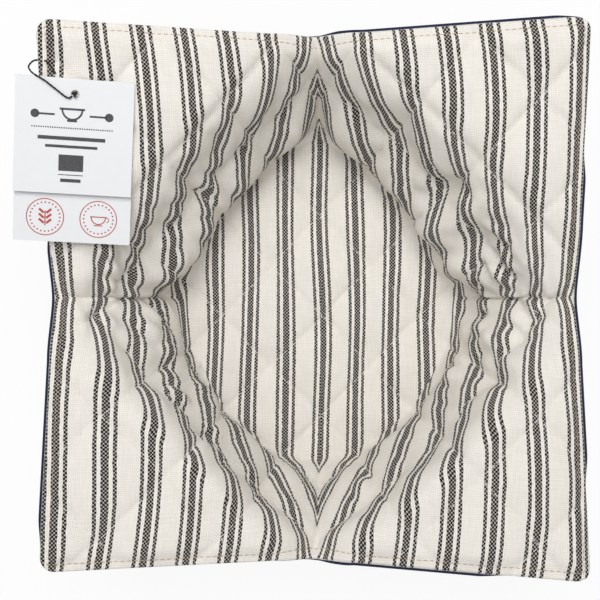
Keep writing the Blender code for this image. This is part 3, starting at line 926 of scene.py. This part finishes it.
def twistedTube(name, path, radius, sides, material):
    # two plies laid together: the section's long axis turns with the lay
    mesh = bmesh.new()
    lay, plyDepth = cordSizes["lay"], cordSizes["plyDepth"]
    side = Vector((0, 0, 1))
    rings, run = [], 0.0
    for i, point in enumerate(path):
        ahead = (path[min(i + 1, len(path) - 1)] - path[max(i - 1, 0)]).normalized()
        side = (side - ahead * side.dot(ahead)).normalized()
        other = ahead.cross(side)
        if i:
            run += (point - path[i - 1]).length
        ring = []
        for k in range(sides):
            angle = 2 * math.pi * k / sides
            ply = abs(math.cos(angle - math.pi * run / lay))
            r = radius * (1 - plyDepth + plyDepth * ply)
            ring.append(mesh.verts.new(point + (side * math.cos(angle) + other * math.sin(angle)) * r))
        rings.append(ring)
    for near, far in zip(rings, rings[1:]):
        for k in range(sides):
            mesh.faces.new((near[k], near[(k + 1) % sides], far[(k + 1) % sides], far[k]))
    mesh.faces.new(reversed(rings[0]))
    mesh.faces.new(rings[-1])
    made = meshObject(name, mesh, material)
    made.data.shade_smooth()
    return made


stringPath, stringLength = smoothRoute(stringRoute, cordSizes["ringStep"])
string = twistedTube("hang_string", stringPath, cordSizes["diameter"] / 2, cordSizes["sides"], darkString)

# The knot: a small overhand knot of the same string, pulled tight over the tag's hole

knotLow, knotHigh = (Vector(c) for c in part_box("string_knot"))
knotMiddle = (knotLow + knotHigh) / 2
knotSizes = {"radius": 0.00085, "flat": 0.6, "lobe": 1.4, "turns": 96, "thread": 0.00046, "sides": 8}


def knotPath():
    # a trefoil, flattened
    path = []
    for k in range(knotSizes["turns"] + 1):
        t = 2 * math.pi * k / knotSizes["turns"]
        point = Vector((math.sin(t) + knotSizes["lobe"] * math.sin(2 * t),
                        math.cos(t) - knotSizes["lobe"] * math.cos(2 * t),
                        -math.sin(3 * t) * knotSizes["flat"]))
        path.append(knotMiddle + point * knotSizes["radius"] * 0.5)
    return path


knot = twistedTube("string_tie", knotPath(), knotSizes["thread"], knotSizes["sides"], darkString)
print("string made, length", round(stringLength, 4))

# The tag keeps its CAD card; its print is generic

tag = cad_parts["tag_card"]
tag.data.materials.clear()
tag.data.materials.append(whiteCard)

tagSizes = {
    "turn": math.radians(-2.9),
    "fromSide": 0.0180,
    "fromBack": 0.0279,
    "card": 0.0004,
    "leafGap": 0.0006,
    "leafLift": 0.0012,
    "frontLength": 0.0530,
    "clearance": 0.0003,
    "seatPuff": 0.0012,
    "inkLift": 0.00003,
    "inkDepth": 0.00002,
}

# The print's places, in millimetres from the middle of the tag's fold; a bar is (y, width, height)

marks = {"front": -1.0, "bowl": -13.8, "spoons": -16.4, "rule": -22.4, "rings": -64.4, "sprig": -12.6,
         "cup": 12.2}
bowlBars = ((-13.6, 11.6, 1.0), (-19.0, 4.6, 1.0))
textBars = ((-27.2, 31.0, 1.7), (-31.0, 24.0, 1.3), (-38.6, 11.4, 7.6), (-44.2, 11.4, 0.4), (-46.8, 9.4, 1.6))
cupBars = ((-63.3, 7.8, 0.5), (-67.4, 4.0, 0.5))


def tagPlacement():
    # the same placing rule as the CAD card: seated on the back left flap, over the string
    plan = Vector((tagSizes["fromSide"] - pad["halfSpan"], pad["halfSpan"] - tagSizes["fromBack"]))
    out = (abs(plan.x) + abs(plan.y)) / root2
    slope = flapSlope / root2
    normal = Vector((slope, -slope, 1.0)).normalized()
    seat = Vector((plan.x, plan.y, pad["stack"] + flapHeight(out)))
    seat += normal * (tagSizes["seatPuff"] + tagSizes["clearance"] + cordSizes["diameter"])
    tilt = Vector((0, 0, 1)).rotation_difference(normal)
    return Matrix.Translation(seat) @ tilt.to_matrix().to_4x4() @ Matrix.Rotation(tagSizes["turn"], 4, "Z")


def inkBar(x, y, width, height, turn=0.0):
    # an outline of four points about a middle, in millimetres on the tag
    a, b = width / 2, height / 2
    corners = [(-a, -b), (a, -b), (a, b), (-a, b)]
    cos, sin = math.cos(turn), math.sin(turn)
    return [(x + a * cos - b * sin, y + a * sin + b * cos) for a, b in corners]


def inkDot(x, y, radius, points=10):
    turns = [2 * math.pi * k / points for k in range(points)]
    return [(x + radius * math.cos(t), y + radius * math.sin(t)) for t in turns]


def inkArc(x, y, radius, width, start, end, points):
    # a row of quads along an arc
    shapes = []
    for k in range(points):
        t0, t1 = (start + (end - start) * (k + i) / points for i in (0, 1))
        inner, outer = radius - width / 2, radius + width / 2
        shapes.append([(x + r * math.cos(t), y + r * math.sin(t)) for r, t in
                       ((inner, t0), (outer, t0), (outer, t1), (inner, t1))])
    return shapes


def printShapes(name, shapes, front, material):
    # thin raised prints, each outline a closed slab just above the card
    mesh = bmesh.new()
    place = tagPlacement()
    for outline in shapes:
        rows = []
        for layer in (0, 1):
            row = []
            for x, y in outline:
                z = tagSizes["card"]
                if front:
                    z = 2 * tagSizes["card"] + tagSizes["leafGap"]
                    z += tagSizes["leafLift"] * (-y * mm) / tagSizes["frontLength"]
                z += tagSizes["inkLift"] + layer * tagSizes["inkDepth"]
                row.append(mesh.verts.new(place @ Vector((x * mm, y * mm, z))))
            rows.append(row)
        mesh.faces.new(rows[1])
        mesh.faces.new(reversed(rows[0]))
        for k in range(len(outline)):
            j = (k + 1) % len(outline)
            mesh.faces.new((rows[0][k], rows[0][j], rows[1][j], rows[1][k]))
    return meshObject(name, mesh, material)


def frontPrint():
    # a bowl between two spoons, a dotted rule, bars and a square
    middle, line, head, handle = marks["front"], 0.9, 17.0, 12.0
    shapes = [inkDot(1.05 * k - 19.2, marks["rule"], 0.36) for k in range(36)]
    shapes += inkArc(middle, marks["bowl"], 4.6, line, math.pi, 2 * math.pi, 18)
    shapes += [inkBar(middle, *bar) for bar in bowlBars]
    for side in (-1, 1):
        shapes.append(inkDot(middle + head * side, marks["spoons"], 2.0, 18))
        shapes.append(inkBar(middle + handle * side, marks["spoons"], 8.0, line))
    return shapes + [inkBar(middle, *bar) for bar in textBars]


def backPrint():
    # two rings: one with a leaf sprig, one with a cup
    middle, sprig, cup = marks["rings"], marks["sprig"], marks["cup"]
    dotRing = 6.9
    shapes = []
    for x in (sprig, cup):
        shapes += inkArc(x, middle, 8.6, 0.45, 0, 2 * math.pi, 40)
        shapes += [inkDot(x + dotRing * math.cos(t), middle + dotRing * math.sin(t), 0.42, 8)
                   for t in np.linspace(0, 2 * math.pi, 25)[:-1]]
    shapes.append(inkBar(sprig, -65.0, 0.55, 7.0))
    for leaf in (-61.6, -64.0, -66.4):
        shapes += [inkBar(sprig + 1.7 * side, leaf, 3.0, 1.1, 0.7 * side) for side in (-1, 1)]
    shapes += inkArc(cup, -63.4, 3.4, 0.5, math.pi, 2 * math.pi, 14)
    shapes += [inkBar(cup, *bar) for bar in cupBars]
    return shapes + inkArc(16.0, -64.6, 1.1, 0.4, -0.5 * math.pi, 0.5 * math.pi, 6)


greyPrint = printShapes("tag_print", frontPrint(), True, greyInk)
redPrint = printShapes("tag_rings", backPrint(), False, redInk)
print("tag made")

# Stage, light and camera


def makeFloor():
    size = light["floorSize"]
    corners = [(x * size, y * size, -light["floorDrop"]) for x, y in ((-1, -1), (1, -1), (1, 1), (-1, 1))]
    mesh = bpy.data.meshes.new("studio_floor")
    mesh.from_pydata(corners, [], [(0, 1, 2, 3)])
    made, tree, shader, output = newMaterial("white studio floor")
    shader.inputs["Base Color"].default_value = hexColour("#FAFAFA")
    shader.inputs["Roughness"].default_value = 0.9
    glow = addNode(tree, "ShaderNodeEmission", {"Color": (1, 1, 1, 1), "Strength": 1.0})
    path = addNode(tree, "ShaderNodeLightPath")
    seen = mathNode(tree, "MAXIMUM", path.outputs["Is Camera Ray"], path.outputs["Is Glossy Ray"])
    seen = mathNode(tree, "MAXIMUM", seen, path.outputs["Is Transmission Ray"])
    share = mathNode(tree, "MULTIPLY", seen, light["floorGlow"])
    both = addNode(tree, "ShaderNodeMixShader", {0: share, 1: shader.outputs[0], 2: glow.outputs[0]})
    tree.links.new(both.outputs[0], output.inputs[0])
    mesh.materials.append(made)
    addObject("studio_floor", mesh)


def makeLamp(name):
    lamp = bpy.data.lights.new(name + "_light", "AREA")
    lamp.energy = light[name + "Power"]
    lamp.size = light[name + "Size"]
    place = Vector(light[name + "Place"])
    made = addObject(name + "_light", lamp)
    made.location = place
    made.rotation_euler = (Vector(light["aim"]) - place).to_track_quat("-Z", "Y").to_euler()


def makeSky():
    world = bpy.data.worlds.new("studio")
    world.use_nodes = True
    tree = world.node_tree
    tree.nodes.clear()
    sky = addNode(tree, "ShaderNodeBackground", {"Color": (1, 1, 1, 1), "Strength": light["skyStrength"]})
    white = addNode(tree, "ShaderNodeBackground", {"Color": (1, 1, 1, 1), "Strength": 1.0})
    path = addNode(tree, "ShaderNodeLightPath")
    both = addNode(tree, "ShaderNodeMixShader", {0: path.outputs["Is Camera Ray"], 1: sky.outputs[0],
                                                 2: white.outputs[0]})
    addNode(tree, "ShaderNodeOutputWorld", {"Surface": both.outputs[0]})
    bpy.context.scene.world = world


def makeCamera():
    data = bpy.data.cameras.new("camera")
    data.lens = view["lens"]
    data.sensor_width = view["sensor"]
    made = addObject("camera", data)
    made.location = (view["x"], view["y"], view["height"])
    bpy.context.scene.camera = made


makeFloor()
makeLamp("key")
makeLamp("fill")
makeSky()
makeCamera()
bpy.context.scene.view_settings.view_transform = "Standard"
# the denoiser's own prefilter smooths away threads a pixel and a half wide
bpy.context.scene.cycles.denoising_prefilter = "NONE"
print("stage set")

# Each piece and the part it stands for, listed; every piece rides on the root body

slots = (
    (liner, "striped_cotton"),
    (backing, "navy_cotton"),
    (batting, "batting"),
    (edgeInner, "striped_cotton"),
    (edgeOuter, "navy_cotton"),
    (quiltInner, "striped_cotton"),
    (quiltOuter, "navy_cotton"),
    (string, "tag_string"),
    (knot, "tag_string"),
    (greyPrint, "tag_card"),
    (redPrint, "tag_card"),
)
for piece, slotName in slots:
    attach(piece, "root")
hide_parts("inner_panel")
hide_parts("outer_panel")
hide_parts("batting")
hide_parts("tag_string")
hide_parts("string_knot")
